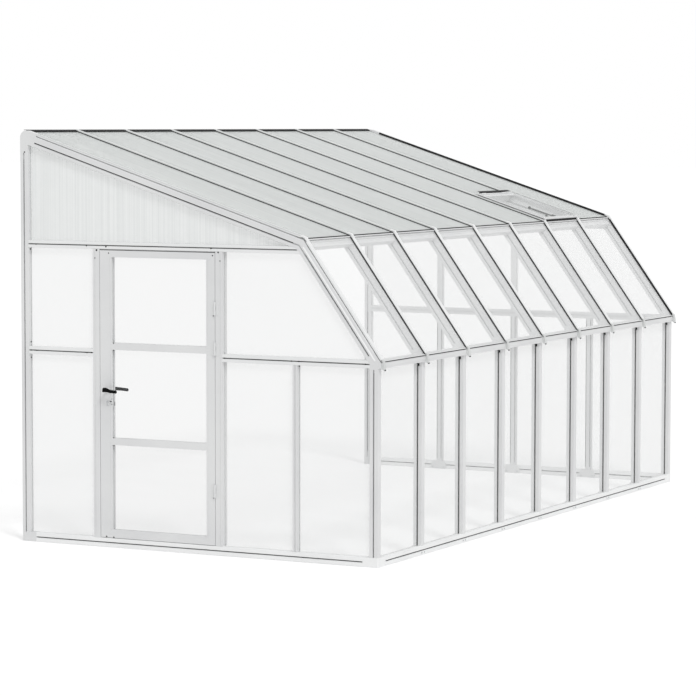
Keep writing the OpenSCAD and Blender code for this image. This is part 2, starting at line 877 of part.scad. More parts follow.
module hinge_pins() {
    color("silver") place() {
        at_hinges() {
            cylinder(r = hinge_pin_r, h = hinge_h);
            translate([0, 0, hinge_h]) cylinder(r = hinge_pin_r + 1.5, h = 2);
            translate([0, 0, -2]) cylinder(r = hinge_pin_r + 1.5, h = 2);
        }
        for (x = vent_hinge_xs) translate([x, 0, 0]) on_roof() translate([0, -vent_pin_h, vent_len])
            rotate([0, 90, 0]) translate([0, 0, -vent_knuckle_w])
            cylinder(r = vent_pin_r, h = 2 * vent_knuckle_w);
    }
}

// Door leaf

opening_zs = [[door_z + bottom_rail_h, cross_lo_z], [cross_lo_z + cross_h, cross_hi_z],
              [cross_hi_z + cross_h, leaf_top - top_rail_h]];
opening_y0 = leaf_y0 + hinge_stile_w;
opening_y1 = leaf_y1 - lock_stile_w;

// Glass openings of the leaf, larger by g at the sides and top and by low at the bottom
module openings_2d(g, low) {
    for (zs = opening_zs) translate([opening_y0 - g, zs[0] - low])
        square([opening_y1 - opening_y0 + 2 * g, zs[1] - zs[0] + g + low]);
}

module leaf_slot() {
    along_x(lock_x - slot_w / 2, lock_x + slot_w / 2) openings_2d(slot_q, slot_q);
}

// Shallow line of the glazing beads round the openings, on both faces
module bead_lines() {
    for (x = [-1, leaf_t - 1]) along_x(x, x + 2) difference() {
        openings_2d(12, 12);
        openings_2d(10, 10);
    }
}

module door_stiles() {
    z_lo = door_z + bottom_rail_h;
    z_hi = leaf_top - top_rail_h;
    color("whitesmoke") place() difference() {
        along_x(0, leaf_t) {
            polygon([[leaf_y0, door_z], [opening_y0, z_lo], [opening_y0, z_hi], [leaf_y0, leaf_top]]);
            polygon([[leaf_y1, door_z], [leaf_y1, leaf_top], [opening_y1, z_hi], [opening_y1, z_lo]]);
        }
        leaf_slot();
        bead_lines();
        translate([lock_x - case_w / 2 - fit, case_back - fit, case_z0 - fit])
            cube([case_w + 2 * fit, leaf_y1 + 1 - case_back, case_z1 - case_z0 + 2 * fit]);
        translate([lock_x - face_w / 2 - fit, leaf_y1 - face_t, case_z0 - face_over - 1])
            cube([face_w + 2 * fit, face_t + 1, case_z1 - case_z0 + 2 * face_over + 2]);
        translate([-1, spindle_y, spindle_z]) rotate([0, 90, 0]) cylinder(r = hub_r + 1, h = leaf_t + 2);
        along_x(-1, leaf_t + 1) barrel_2d(fit);
    }
}

module door_rails() {
    z_lo = door_z + bottom_rail_h;
    z_hi = leaf_top - top_rail_h;
    color("whitesmoke") place() difference() {
        along_x(0, leaf_t) {
            polygon([[leaf_y0, door_z], [leaf_y1, door_z], [opening_y1, z_lo], [opening_y0, z_lo]]);
            polygon([[leaf_y0, leaf_top], [opening_y0, z_hi], [opening_y1, z_hi], [leaf_y1, leaf_top]]);
            for (z = [cross_lo_z, cross_hi_z])
                translate([opening_y0, z]) square([opening_y1 - opening_y0, cross_h]);
        }
        leaf_slot();
    }
}

module door_panes() {
    color("azure", 0.4) place()
        along_x(lock_x - pane_t / 2, lock_x + pane_t / 2) openings_2d(pane_bite, slot_q);
}

// Lock

// Profile of the key cylinder in the Y-Z plane
module barrel_2d(g) {
    translate([spindle_y, key_z]) circle(r = barrel_r + g);
    translate([spindle_y - lobe_w / 2 - g, key_z - lobe_drop - g]) square([lobe_w + 2 * g, lobe_drop]);
}

module lock_case() {
    high = case_z1 - case_z0;
    color("silver") place() difference() {
        union() {
            translate([lock_x - case_w / 2, case_back, case_z0])
                cube([case_w, leaf_y1 - face_t - case_back, high]);
            translate([lock_x - face_w / 2, leaf_y1 - face_t, case_z0 - face_over])
                cube([face_w, face_t, high + 2 * face_over]);
        }
        translate([lock_x - case_w / 2 + case_wall, case_back + case_wall, case_z0 + case_wall])
            cube([case_w - 2 * case_wall, leaf_y1 - face_t - case_back - case_wall, high - 2 * case_wall]);
        bolt_window(latch_w, latch_z0, latch_h, 0.25, leaf_y1 - face_t - 1, face_t + 2);
        bolt_window(bolt_w, bolt_z0, bolt_h, 0.25, leaf_y1 - face_t - 1, face_t + 2);
        translate([0, spindle_y, spindle_z]) rotate([0, 90, 0]) cylinder(r = 7, h = leaf_t);
        along_x(0, leaf_t) barrel_2d(fit);
    }
}

module lock_cylinder() {
    color("silver") place() difference() {
        along_x(-barrel_out, leaf_t + barrel_out) barrel_2d(0);
        translate([lock_x - 5.2, spindle_y, key_z]) rotate([0, 90, 0]) cylinder(r = cam_r + 0.6, h = 10.4);
        translate([-barrel_out - 1, spindle_y, key_z]) rotate([0, 90, 0])
            cylinder(r = plug_r + pin_play, h = leaf_t + 2 * barrel_out + 2);
    }
}

// Key plug with the driving cam between the two halves of the cylinder
module key_plug() {
    tip = barrel_out + 0.8;
    color("lightgray") place() translate([0, spindle_y, key_z]) difference() {
        union() {
            translate([-tip, 0, 0]) rotate([0, 90, 0]) cylinder(r = plug_r, h = leaf_t + 2 * tip);
            translate([lock_x - 4.8, -4, -cam_r + 0.6]) cube([9.6, 8, cam_r - 0.6]);
        }
        for (x = [-tip - 1, leaf_t + tip - 3]) translate([x, -0.8, -3.5]) cube([4, 1.6, 7]);
    }
}

module roses() {
    neck_r = lever_r + 1;
    color("whitesmoke") place() for (x = [-rose_t, leaf_t]) {
        difference() {
            translate([x, spindle_y, spindle_z]) rotate([0, 90, 0]) cylinder(r = 17, h = rose_t);
            translate([x - 1, spindle_y, spindle_z]) rotate([0, 90, 0])
                cylinder(r = neck_r + pin_play, h = rose_t + 2);
        }
        t = barrel_out - 1;
        x1 = x < 0 ? -t : leaf_t;
        difference() {
            translate([x1, spindle_y, key_z - 6]) rotate([0, 90, 0]) cylinder(r = 19, h = t);
            along_x(-20, leaf_t + 20) barrel_2d(fit);
        }
    }
}

// One lever: neck through the rose, round elbow, tube with a domed tip
module lever(x0, x1) {
    neck_r = lever_r + 1;
    bore = spindle_w + 0.1;
    toward = x1 > x0 ? 1 : -1;
    difference() {
        union() {
            translate([min(x0, x1), spindle_y, spindle_z]) rotate([0, 90, 0])
                cylinder(r = neck_r, h = abs(x1 - x0));
            translate([x1, spindle_y, spindle_z]) sphere(r = neck_r);
            translate([x1, spindle_y, spindle_z]) rotate([90, 0, 0])
                cylinder(r = lever_r, h = lever_len - lever_r);
            translate([x1, spindle_y - lever_len + lever_r, spindle_z]) sphere(r = lever_r);
        }
        translate([x0 - (toward > 0 ? 1 : 31), spindle_y - bore / 2, spindle_z - bore / 2])
            cube([32, bore, bore]);
    }
}

module lever_handles() {
    color("black") place() {
        lever(-0.5, -lever_off);
        lever(leaf_t + 0.5, leaf_t + lever_off);
    }
}

// Square spindle with the follower hub and the arm that draws the latch
module spindle() {
    color("dimgray") place() translate([0, spindle_y, spindle_z]) {
        translate([-30, -spindle_w / 2, -spindle_w / 2]) cube([leaf_t + 60, spindle_w, spindle_w]);
        translate([lock_x - 6, 0, 0]) rotate([0, 90, 0]) cylinder(r = hub_r, h = 12);
        translate([lock_x - 6, -2.5, 0]) cube([12, 5, 19]);
    }
}

module latch_bolt() {
    tip = leaf_y1 + latch_travel;
    tail = spindle_y - 7;
    color("silver") place() difference() {
        translate([0, 0, latch_z0]) linear_extrude(latch_h) polygon([
            [lock_x - latch_w / 2, tail], [lock_x + latch_w / 2, tail], [lock_x + latch_w / 2, tip - 10],
            [lock_x - latch_w / 2 + 2, tip], [lock_x - latch_w / 2, tip]]);
        translate([lock_x - 10, spindle_y - 4, latch_z0 - 1]) cube([20, 10, 10.5]);
    }
}

module deadbolt() {
    color("silver") place() translate([lock_x - bolt_w / 2, spindle_y - 5, bolt_z0])
        cube([bolt_w, leaf_y1 - spindle_y + 4.8, bolt_h]);
}

// Glazing

// Lower and upper edges of the wall panes, which stand on the floors of the slots
low_z0 = base_h - slot_q;
low_z1 = mid_z + pane_bite;
high_z0 = mid_z + mid_h - slot_q;
high_z1 = upper_z + pane_bite;

module front_panes() {
    color("azure", 0.4) place() for (i = [0:bays - 1]) along_y(glaze_in - pane_t / 2, glaze_in + pane_t / 2) {
        translate([i * bay + bar_w - pane_bite, low_z0])
            square([bay - bar_w + 2 * pane_bite, elbow_z - 1 - low_z0]);
        translate([i * bay + bar_w + 1, base_h])
            square([bay - bar_w - 2, mid_z + pane_bite - base_h]);
    }
}

module steep_panes() {
    color("azure", 0.4) place() for (i = [0:bays - 1])
        translate([i * bay + half_w + pane_edge, 0, 0]) on_steep()
            translate([0, sheet_t - pane_t, 4]) cube([bay - 2 * pane_edge, pane_t, steep_len - 7]);
}

module roof_sheets() {
    color("lightgray", 0.7) place() for (i = [0:bays - 1]) {
        start = i == vent_bay ? vent_end : 3;
        translate([i * bay + half_w + pane_edge, 0, 0]) on_roof()
            translate([0, 0, start]) cube([bay - 2 * pane_edge, sheet_t, sheet_end - start]);
    }
}

// Part of a gable pane between two depths and two heights, cut to the frame
module gable_pane(t, y0, y1, z0, z1) {
    along_x(glaze_in - t / 2, glaze_in + t / 2) intersection() {
        inner_2d(pane_bite);
        translate([y0, z0]) square([y1 - y0, z1 - z0]);
    }
}

module near_gable_panes() {
    y_left = jamb_far_y + jamb_w - pane_bite;
    y_right = door_y - jamb_w + pane_bite;
    y_mull = mullion_w / 2 - pane_bite;
    color("azure", 0.4) place() {
        gable_pane(pane_t, y_left, depth, low_z0, low_z1);
        gable_pane(pane_t, y_left, depth, high_z0, high_z1);
        gable_pane(pane_t, mullion_y + y_mull, y_right, low_z0, low_z1);
        gable_pane(pane_t, 0, mullion_y - y_mull, low_z0, low_z1);
        gable_pane(pane_t, 0, y_right, high_z0, high_z1);
    }
}

module far_gable_panes() {
    edge = half_w - pane_bite;
    color("azure", 0.4) place() far_side() for (k = [0:far_bays - 1]) {
        y0 = k == 0 ? 0 : far_post_y(k) + edge;
        y1 = k == far_bays - 1 ? depth : far_post_y(k + 1) - edge;
        gable_pane(pane_t, y0, y1, low_z0, low_z1);
        if (k > 0) gable_pane(pane_t, k == 1 ? 0 : y0, y1, high_z0, high_z1);
    }
}

module gable_triangles() {
    color("lightgray", 0.7) place() both_ends()
        gable_pane(sheet_t, 0, depth, upper_z + upper_h - slot_q, 2 * bend_z);
}

// Gaskets

// Strips that fill the slots of the front posts on both sides of the panes
module wall_gaskets() {
    t = (slot_w - pane_t) / 2;
    proud = 1;
    high = elbow_z - 3 - base_h;
    color("dimgray") place() for (i = [0:bays - 1], y = [glaze_in - slot_w / 2, glaze_in + pane_t / 2]) {
        translate([i * bay + bar_w - slot_q, y, base_h]) cube([slot_q + proud, t, high]);
        translate([(i + 1) * bay - proud, y, base_h]) cube([slot_q + proud, t, high]);
    }
}

gasket_w = 5.5;

// Strip under one edge of a cap, from s0 to s1 and down to the glazing, which lies low below the plane
module cap_gasket(side, s0, s1, low) {
    x = side > 0 ? cap_half - 1 - gasket_w : 1 - cap_half;
    translate([x, hair - gasket_h, s0]) cube([gasket_w, gasket_h + low - 2 * hair, s1 - s0]);
}

// Strips under both edges of the caps, the outer ones left out where no glazing lies
module cap_gaskets(low) {
    for (i = [0:bays], side = [-1, 1]) if ((i > 0 || side > 0) && (i < bays || side < 0))
        translate([i * bay + half_w, 0, 0]) {
            beside = (i == vent_bay && side > 0) || (i == vent_bay + 1 && side < 0);
            end = (i == 0 || i == bays) ? rake_end : sheet_end;
            on_steep() cap_gasket(side, 11, steep_len - 11, low);
            on_roof() cap_gasket(side, beside ? vent_end : 9, end, 0);
        }
}

// Strip over the joint of a steep pane and a roof sheet
module bend_gasket_2d(low) {
    polygon([steep_pt(steep_len - 10, low - hair), steep_pt(steep_len - 10, -1), bend_pt(-2),
             roof_pt(8, -2), roof_pt(8, -hair), roof_pt(2.5, -hair), steep_pt(steep_len - 2.5, low - hair)]);
}

// Strip round the lower edge of a steep pane
module eave_gasket_2d(low) {
    s = 4 - hair;
    polygon([steep_pt(2.2, sheet_t - hair), steep_pt(2.2, 0), steep_pt(10, 0), steep_pt(10, low - hair),
             steep_pt(s, low - hair), steep_pt(s, sheet_t - hair)]);
}

// Strip between the wall flashing and a roof sheet
module flashing_gasket_2d() {
    y0 = depth - 43;
    y1 = depth - 37;
    polygon([[y0, roof_z(y0, -hair)], [y1, roof_z(y1, -hair)], [y1, roof_z(y1, hair - gasket_h)],
             [y0, roof_z(y0, hair - gasket_h)]]);
}

module slope_gaskets() {
    low = sheet_t - pane_t;
    s0 = vent_len + 2;
    s1 = vent_end - 0.5;
    color("black") place() {
        cap_gaskets(low);
        for (i = [0:bays - 1]) {
            along_x(i * bay + half_w + pane_edge, (i + 1) * bay + half_w - pane_edge) bend_gasket_2d(low);
            along_x(i * bay + bar_w + 1, (i + 1) * bay - 1) {
                eave_gasket_2d(low);
                flashing_gasket_2d();
            }
        }
        along_x(vent_x0 + half_w, vent_x1 - half_w)
            polygon([roof_pt(s0, 0), roof_pt(s1, 0), roof_pt(s1, sheet_t - 0.5), roof_pt(s0, sheet_t - 0.5)]);
    }
}

// Vent

vent_hinge_xs = [vent_x0 + 130, vent_x1 - 130];

// Frame knuckles lie outward of each hinge middle, lid knuckles inward
module vent_knuckles(outward) {
    for (i = [0, 1]) {
        away = (i == 0 ? -1 : 1) * (outward ? 1 : -1);
        x = vent_hinge_xs[i] + (away > 0 ? fit / 2 : -vent_knuckle_w);
        translate([x, 0, 0]) children();
    }
}

// Vent knuckle with a tab to its carrier, whose corners are given as [below, along] the roof
module vent_knuckle(tab) {
    on_roof() along_x(0, vent_knuckle_w - fit / 2) difference() {
        union() {
            translate([-vent_pin_h, vent_len]) circle(r = vent_knuckle_r);
            polygon(tab);
        }
        translate([-vent_pin_h, vent_len]) circle(r = vent_pin_r + pin_play);
    }
}

module vent_curb() {
    deep = 30;
    ledge = 40;
    s_top = vent_len - 18;
    color("whitesmoke") place() union() {
        on_roof() {
            for (x = [vent_x0 + curb_x, vent_x1 - curb_x - curb_t])
                translate([x, -curb_top, knuckle_len + 1])
                    cube([curb_t, curb_top + sheet_t, vent_len - 5 - knuckle_len]);
            along_x(vent_x0 + half_w, vent_x1 - half_w) {
                polygon([[-curb_top, 9], [-curb_top, curb_low_s], [deep, curb_low_s], [deep, bend_s(deep)],
                         [sheet_t, bend_s(sheet_t)], [sheet_t - 3, 9]]);
                polygon([[-curb_top, s_top], [-curb_top, vent_len - 2], [sheet_t, vent_len - 2],
                         [sheet_t, vent_len + 24], [ledge, vent_len + 24], [ledge, s_top]]);
            }
        }
        vent_knuckles(true) vent_knuckle([[2 - curb_top, vent_len - 9], [2 - curb_top, vent_len - 4],
            [1 - vent_pin_h, vent_len + 4], [1 - vent_pin_h, vent_len - 4]]);
    }
}

// Lid frame: flat border round the pane with lips turned down outside the curb
module vent_lid() {
    x0 = vent_x0 - vent_over / 2;
    x1 = vent_x1 + vent_over / 2;
    wide = x1 - x0;
    long = lid_rear - lid_front;
    color("whitesmoke") place() {
        on_roof() difference() {
            union() {
                translate([x0, -lid_top, lid_front]) cube([wide, lid_top - lid_low, long]);
                for (x = [x0, x1 - 6]) translate([x, -lid_low - 1, knuckle_len + 2])
                    cube([6, lid_lip + 1, lid_rear - knuckle_len - 2]);
                translate([vent_x0 + half_w + 2, -lid_low - 1, lid_front]) cube([bay - bar_w - 4, 12, 6]);
            }
            translate([x0 + lid_border, -lid_top - 1, lid_front + lid_border])
                cube([wide - 2 * lid_border, lid_top - lid_low - 3, long - 2 * lid_border]);
            translate([x0 + lid_frame_w, -lid_top - 1, lid_front + lid_frame_w])
                cube([wide - 2 * lid_frame_w, lid_top, long - 2 * lid_frame_w]);
        }
        vent_knuckles(false) vent_knuckle([[-lid_low - 2, lid_rear - 3], [2 - vent_pin_h, vent_len],
            [-vent_pin_h - 2, vent_len], [2 - lid_top, lid_rear - 3]]);
    }
}

module vent_pane() {
    x0 = vent_x0 - vent_over / 2 + lid_border + 1;
    x1 = vent_x1 + vent_over / 2 - lid_border - 1;
    color("lightgray", 0.7) place() translate([x0, 0, 0]) on_roof()
        translate([0, -lid_low - 8, lid_front + lid_border + 1])
            cube([x1 - x0, 4, lid_rear - lid_front - 2 * lid_border - 2]);
}

// Vent stay

// Draws at a pivot given as [s, h], with z along the pin
module at_pivot(p, x) {
    translate([vent_xc + x, 0, 0]) on_roof() translate([0, -p[1], p[0]]) rotate([0, 90, 0]) children();
}

// Flat link between the pivots a and b, with eyes of radius ra and rb bored ha and hb
module link(a, b, x, ra, rb, ha, hb) {
    len = norm(b - a);
    wall = 1.5;
    at_pivot(a, x) rotate([0, 0, atan2(a[1] - b[1], a[0] - b[0])]) linear_extrude(link_t) difference() {
        union() {
            circle(r = ra);
            translate([len, 0]) circle(r = rb);
            translate([ha + wall, -link_w / 2]) square([len - ha - hb - 2 * wall, link_w]);
        }
        circle(r = ha);
        if (hb > 0) translate([len, 0]) circle(r = hb);
    }
}

knee_bore_r = knee_pin_r + knee_play;
stay_bore_r = stay_pin_r + pin_play;

module stay_upper_link() {
    color("black") place()
        link(stay_lid_pt, stay_knee_pt, link_gap, link_eye_r, knee_bore_r + 3.5, stay_bore_r, knee_bore_r);
}

module stay_lower_link() {
    x = -link_gap - link_t;
    reach = 2 * link_gap + 2 * link_t;
    color("black") place() {
        link(stay_frame_pt, stay_knee_pt, x, link_eye_r, link_eye_r, stay_bore_r, 0);
        at_pivot(stay_knee_pt, x + 1) cylinder(r = knee_pin_r, h = reach + fit);
        at_pivot(stay_knee_pt, x + reach + fit) cylinder(r = knee_bore_r + 2, h = 1.5);
    }
}

// Plate under the vent pane with an ear and the pin of the upper link
module stay_lid_bracket() {
    x = link_gap + link_t + 1;
    h0 = lid_low + 4;
    color("black") place() {
        translate([vent_xc - 15, 0, 0]) on_roof() translate([0, -h0, stay_lid_pt[0] - 14]) cube([30, 3, 28]);
        translate([vent_xc + x, 0, 0]) on_roof() translate([0, 3 - h0, stay_lid_pt[0] - 7])
            cube([3, h0 - 3 - stay_lid_pt[1] + 5, 14]);
        at_pivot(stay_lid_pt, 1) cylinder(r = stay_pin_r, h = x - 0.5);
    }
}

// Strap from the lower curb with an ear and the pin of the lower link
module stay_frame_bracket() {
    x = -link_gap - link_t - 4;
    s0 = curb_low_s;
    color("black") place() {
        translate([vent_xc - 12, 0, 0]) on_roof() {
            translate([0, 6, s0]) cube([20, 22, 3]);
            translate([0, 6, s0]) cube([20, 3, stay_frame_pt[0] + 10 - s0]);
        }
        translate([vent_xc + x, 0, 0]) on_roof() translate([0, -stay_frame_pt[1] - 5, stay_frame_pt[0] - 7])
            cube([3, stay_frame_pt[1] + 12, 14]);
        at_pivot(stay_frame_pt, x + 2.5) cylinder(r = stay_pin_r, h = link_t + 2);
    }
}

base_rails();
base_corners();
wall_feet();
post_feet();
foot_screws();
corner_posts();
front_posts();
wall_posts();
wall_header();
wall_flashing();
top_corners();
eave_elbows();
eave_beam();
steep_bars();
bend_elbows();
bend_purlins();
rafters();
steep_caps();
roof_caps();
cap_hooks();
bend_knuckles();
near_rails();
near_mullion();
far_rails();
far_posts();
rail_screws();
door_jambs();
door_head();
door_sill();
door_seal();
strike_plate();
hinge_frame_leaves();
hinge_pins();
front_panes();
steep_panes();
roof_sheets();
near_gable_panes();
far_gable_panes();
gable_triangles();
wall_gaskets();
slope_gaskets();
vent_curb();
stay_frame_bracket();
door_stiles();
door_rails();
door_panes();
hinge_door_leaves();
lock_case();
lock_cylinder();
roses();
lever_handles();
spindle();
latch_bolt();
key_plug();
deadbolt();
vent_lid();
vent_pane();
stay_lid_bracket();
stay_upper_link();
stay_lower_link();
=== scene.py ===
import json
import math

import bmesh
import bpy
from mathutils import Matrix, Vector
from mathutils.geometry import convex_hull_2d


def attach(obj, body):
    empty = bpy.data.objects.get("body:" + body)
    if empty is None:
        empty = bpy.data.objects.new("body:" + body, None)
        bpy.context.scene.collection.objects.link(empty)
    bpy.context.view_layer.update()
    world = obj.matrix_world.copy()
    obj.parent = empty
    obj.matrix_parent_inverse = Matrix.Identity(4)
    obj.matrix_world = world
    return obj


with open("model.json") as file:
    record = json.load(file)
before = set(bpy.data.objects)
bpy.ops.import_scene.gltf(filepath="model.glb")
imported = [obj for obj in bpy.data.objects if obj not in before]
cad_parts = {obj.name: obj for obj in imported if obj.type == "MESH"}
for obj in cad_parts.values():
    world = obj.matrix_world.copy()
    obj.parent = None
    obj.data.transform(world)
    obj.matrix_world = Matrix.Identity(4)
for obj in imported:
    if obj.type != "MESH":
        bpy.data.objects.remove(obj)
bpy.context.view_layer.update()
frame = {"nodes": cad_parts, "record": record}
NODES = frame["nodes"]
MM = 0.001

# Camera, fitted to the bar grid of the photograph
CAMERA_PLACE = Vector((-18.3245, -9.2235, 2.6904))
CAMERA_YAW = 27.19
CAMERA_PITCH = -4.348
CAMERA_ROLL = 0.077
CAMERA_LENS = 152.8
CAMERA_SENSOR = 36
CAMERA_REACH = 1000

# Floor, just under the part, and what it adds to the light that the camera sees
FLOOR_HALF = 150.0
FLOOR_Z = -0.0005
FLOOR_COLOUR = (0.90, 0.90, 0.90, 1)
FLOOR_LIFT = 0.20

# Light: the backdrop is white in view, and lights the part with the world's strength
BACKDROP = 1.0
WORLD_STRENGTH = 0.72
SUN_STRENGTH = 1.0
SUN_ANGLE = 14.0
SUN_AZIMUTH = 50.0
SUN_HEIGHT = 45.0

# Scale of a pattern on each axis: close across the flutes or the brush marks, and long along them
FLUTES_UP_SLOPE = (60, 0.4, 0.4)
FLUTES_UPRIGHT = (1, 150, 0.3)
BRUSH_MARKS = (1, 1, 12)
EVEN = (1, 1, 1)


def new_material(name):
    """A new material, its node tree and its Principled shader."""
    material = bpy.data.materials.new(name)
    material.use_nodes = True
    tree = material.node_tree
    tree.nodes.clear()
    output = tree.nodes.new("ShaderNodeOutputMaterial")
    shader = tree.nodes.new("ShaderNodeBsdfPrincipled")
    tree.links.new(shader.outputs["BSDF"], output.inputs["Surface"])
    return material, tree, shader


def coordinates(tree, scale=EVEN):
    """Object coordinates in metres, multiplied by the scale of each axis."""
    source = tree.nodes.new("ShaderNodeTexCoord")
    mapping = tree.nodes.new("ShaderNodeMapping")
    mapping.inputs["Scale"].default_value = scale
    tree.links.new(source.outputs["Object"], mapping.inputs["Vector"])
    return mapping.outputs["Vector"]


def noise(tree, vector, scale, detail=3.0):
    texture = tree.nodes.new("ShaderNodeTexNoise")
    texture.inputs["Scale"].default_value = scale
    texture.inputs["Detail"].default_value = detail
    tree.links.new(vector, texture.inputs["Vector"])
    return texture.outputs["Fac"]


def ramp(tree, factor, low, high, start=0.35, end=0.65):
    """Colour that runs from low to high as factor goes from start to end."""
    made = tree.nodes.new("ShaderNodeValToRGB")
    made.color_ramp.elements[0].position = start
    made.color_ramp.elements[0].color = (*low, 1)
    made.color_ramp.elements[1].position = end
    made.color_ramp.elements[1].color = (*high, 1)
    tree.links.new(factor, made.inputs["Fac"])
    return made.outputs["Color"]


def spread(tree, factor, low, high):
    """Number that runs from low to high as factor goes from 0 to 1."""
    made = tree.nodes.new("ShaderNodeMapRange")
    made.inputs["To Min"].default_value = low
    made.inputs["To Max"].default_value = high
    tree.links.new(factor, made.inputs["Value"])
    return made.outputs["Result"]


def bump(tree, shader, height, distance, strength=0.4):
    made = tree.nodes.new("ShaderNodeBump")
    made.inputs["Distance"].default_value = distance
    made.inputs["Strength"].default_value = strength
    tree.links.new(height, made.inputs["Height"])
    tree.links.new(made.outputs["Normal"], shader.inputs["Normal"])


def resin(name, low, high, roughness=0.42):
    """Extruded white resin: faint clouding, and a slightly uneven gloss."""
    material, tree, shader = new_material(name)
    place = coordinates(tree)
    clouds = noise(tree, place, scale=2.3)
    fine = noise(tree, place, scale=160.0, detail=2.0)
    gloss = spread(tree, fine, low=roughness - 0.06, high=roughness + 0.08)
    tree.links.new(ramp(tree, clouds, low, high), shader.inputs["Base Color"])
    tree.links.new(gloss, shader.inputs["Roughness"])
    bump(tree, shader, fine, distance=0.0002, strength=0.25)
    return material


def clear_sheet(name, colour, alpha):
    """Clear acrylic: most light passes, and what is left has slow waves in its tint."""
    material, tree, shader = new_material(name)
    waves = noise(tree, coordinates(tree), scale=0.8, detail=1.0)
    darker = tuple(0.97 * part for part in colour)
    tree.links.new(ramp(tree, waves, darker, colour), shader.inputs["Base Color"])
    shader.inputs["Roughness"].default_value = 0.08
    shader.inputs["Alpha"].default_value = alpha
    return material


def twin_wall(name, low, high, alpha, pattern):
    """Translucent fluted sheet with uneven bands along its flutes."""
    material, tree, shader = new_material(name)
    bands = noise(tree, coordinates(tree, pattern), scale=1.0, detail=4.0)
    tree.links.new(ramp(tree, bands, low, high), shader.inputs["Base Color"])
    shader.inputs["Roughness"].default_value = 0.35
    shader.inputs["Alpha"].default_value = alpha
    bump(tree, shader, bands, distance=0.0006, strength=0.5)
    return material


def rubber(name, low, high):
    material, tree, shader = new_material(name)
    grain = noise(tree, coordinates(tree), scale=300.0)
    tree.links.new(ramp(tree, grain, low, high), shader.inputs["Base Color"])
    tree.links.new(spread(tree, grain, low=0.55, high=0.8), shader.inputs["Roughness"])
    shader.inputs["Specular IOR Level"].default_value = 0.15
    bump(tree, shader, grain, distance=0.0002)
    return material


def metal(name, low, high, roughness, metallic=0.0, pattern=EVEN, shine=0.5):
    """Bare or coated metal with fine marks."""
    material, tree, shader = new_material(name)
    marks = noise(tree, coordinates(tree, pattern), scale=220.0)
    gloss = spread(tree, marks, low=roughness - 0.08, high=roughness + 0.1)
    tree.links.new(ramp(tree, marks, low, high), shader.inputs["Base Color"])
    tree.links.new(gloss, shader.inputs["Roughness"])
    shader.inputs["Metallic"].default_value = metallic
    shader.inputs["Specular IOR Level"].default_value = shine
    bump(tree, shader, marks, distance=0.0001)
    return material


# Material of each slot of the record
MATERIALS = {
    "resin": resin("white_resin", (0.71, 0.715, 0.72), (0.76, 0.765, 0.765)),
    "cap": resin("white_cap", (0.80, 0.81, 0.81), (0.84, 0.845, 0.845), roughness=0.36),
    "clear": clear_sheet("clear_acrylic", (0.77, 0.78, 0.78), alpha=0.23),
    "twinwall": twin_wall("twin_wall_sheet", (0.64, 0.665, 0.655), (0.73, 0.75, 0.74), alpha=0.42,
                          pattern=FLUTES_UP_SLOPE),
    # The gasket colour also paints shade: the dark strips in the open grooves, on the far caps, under the
    # hooks and at the vent lid
    "gasket": rubber("black_gasket_and_painted_shade", (0.015, 0.015, 0.016), (0.03, 0.03, 0.03)),
    "black_metal": metal("black_coat", (0.004, 0.004, 0.004), (0.008, 0.008, 0.008), roughness=0.55,
                         shine=0.03),
    "white_metal": metal("white_coat", (0.70, 0.71, 0.71), (0.76, 0.765, 0.765), roughness=0.4),
    "steel": metal("brushed_steel", (0.42, 0.43, 0.44), (0.60, 0.61, 0.62), roughness=0.38, metallic=1.0,
                   pattern=BRUSH_MARKS),
}

# Materials of nodes that look a little different from the rest of their slot
UPRIGHT_SHEET = twin_wall("upright_sheet", (0.64, 0.665, 0.66), (0.78, 0.795, 0.79), alpha=0.40,
                          pattern=FLUTES_UPRIGHT)
LID_SHEET = twin_wall("lid_sheet", (0.69, 0.715, 0.70), (0.75, 0.775, 0.76), alpha=0.17,
                      pattern=FLUTES_UP_SLOPE)
DOOR_SHEET = clear_sheet("door_acrylic", (0.40, 0.41, 0.41), alpha=0.10)
FAR_SHEET = clear_sheet("far_acrylic", (0.42, 0.43, 0.43), alpha=0.05)
# Pale resin of the base rails and corners; on the near steep bar's bead it is a painted highlight
PALE_RESIN_AND_HIGHLIGHT = resin("pale_resin_and_painted_highlight", (0.86, 0.865, 0.865), (0.90, 0.905, 0.905))
# Caps and hooks on the roof: the white cap colour made greyer, painted shade of the caps that face up the
# shallow roof
SHADED_ROOF_CAP = resin("roof_cap", (0.62, 0.635, 0.63), (0.67, 0.68, 0.675), roughness=0.40)
OWN_MATERIALS = {
    "gable_triangles": UPRIGHT_SHEET,
    "vent_pane": LID_SHEET,
    "door_panes": DOOR_SHEET,
    "far_gable_panes": FAR_SHEET,
    "roof_caps": SHADED_ROOF_CAP,
    "cap_hooks": SHADED_ROOF_CAP,
    "base_rails": PALE_RESIN_AND_HIGHLIGHT,
    "base_corners": PALE_RESIN_AND_HIGHLIGHT,
    "near_rails": MATERIALS["cap"],
    "rail_screws": MATERIALS["black_metal"],
}

# Sheets that pass the light on to the inside
SHEETS = ("front_panes", "steep_panes", "near_gable_panes", "far_gable_panes", "door_panes", "roof_sheets",
          "gable_triangles", "vent_pane")


def let_light_through(piece):
    """Keeps a sheet in view, but lets it hold no light back."""
    piece.visible_shadow = False
    piece.visible_diffuse = False


def dress_frame():
    """Gives every construction node the material of its slot, or its own one."""
    for row in frame["record"]["subparts"]:
        node = row["node"]
        materials = NODES[node].data.materials
        materials.clear()
        materials.append(OWN_MATERIALS.get(node, MATERIALS[row["material_slot"]]))
    for node in SHEETS:
        let_light_through(NODES[node])


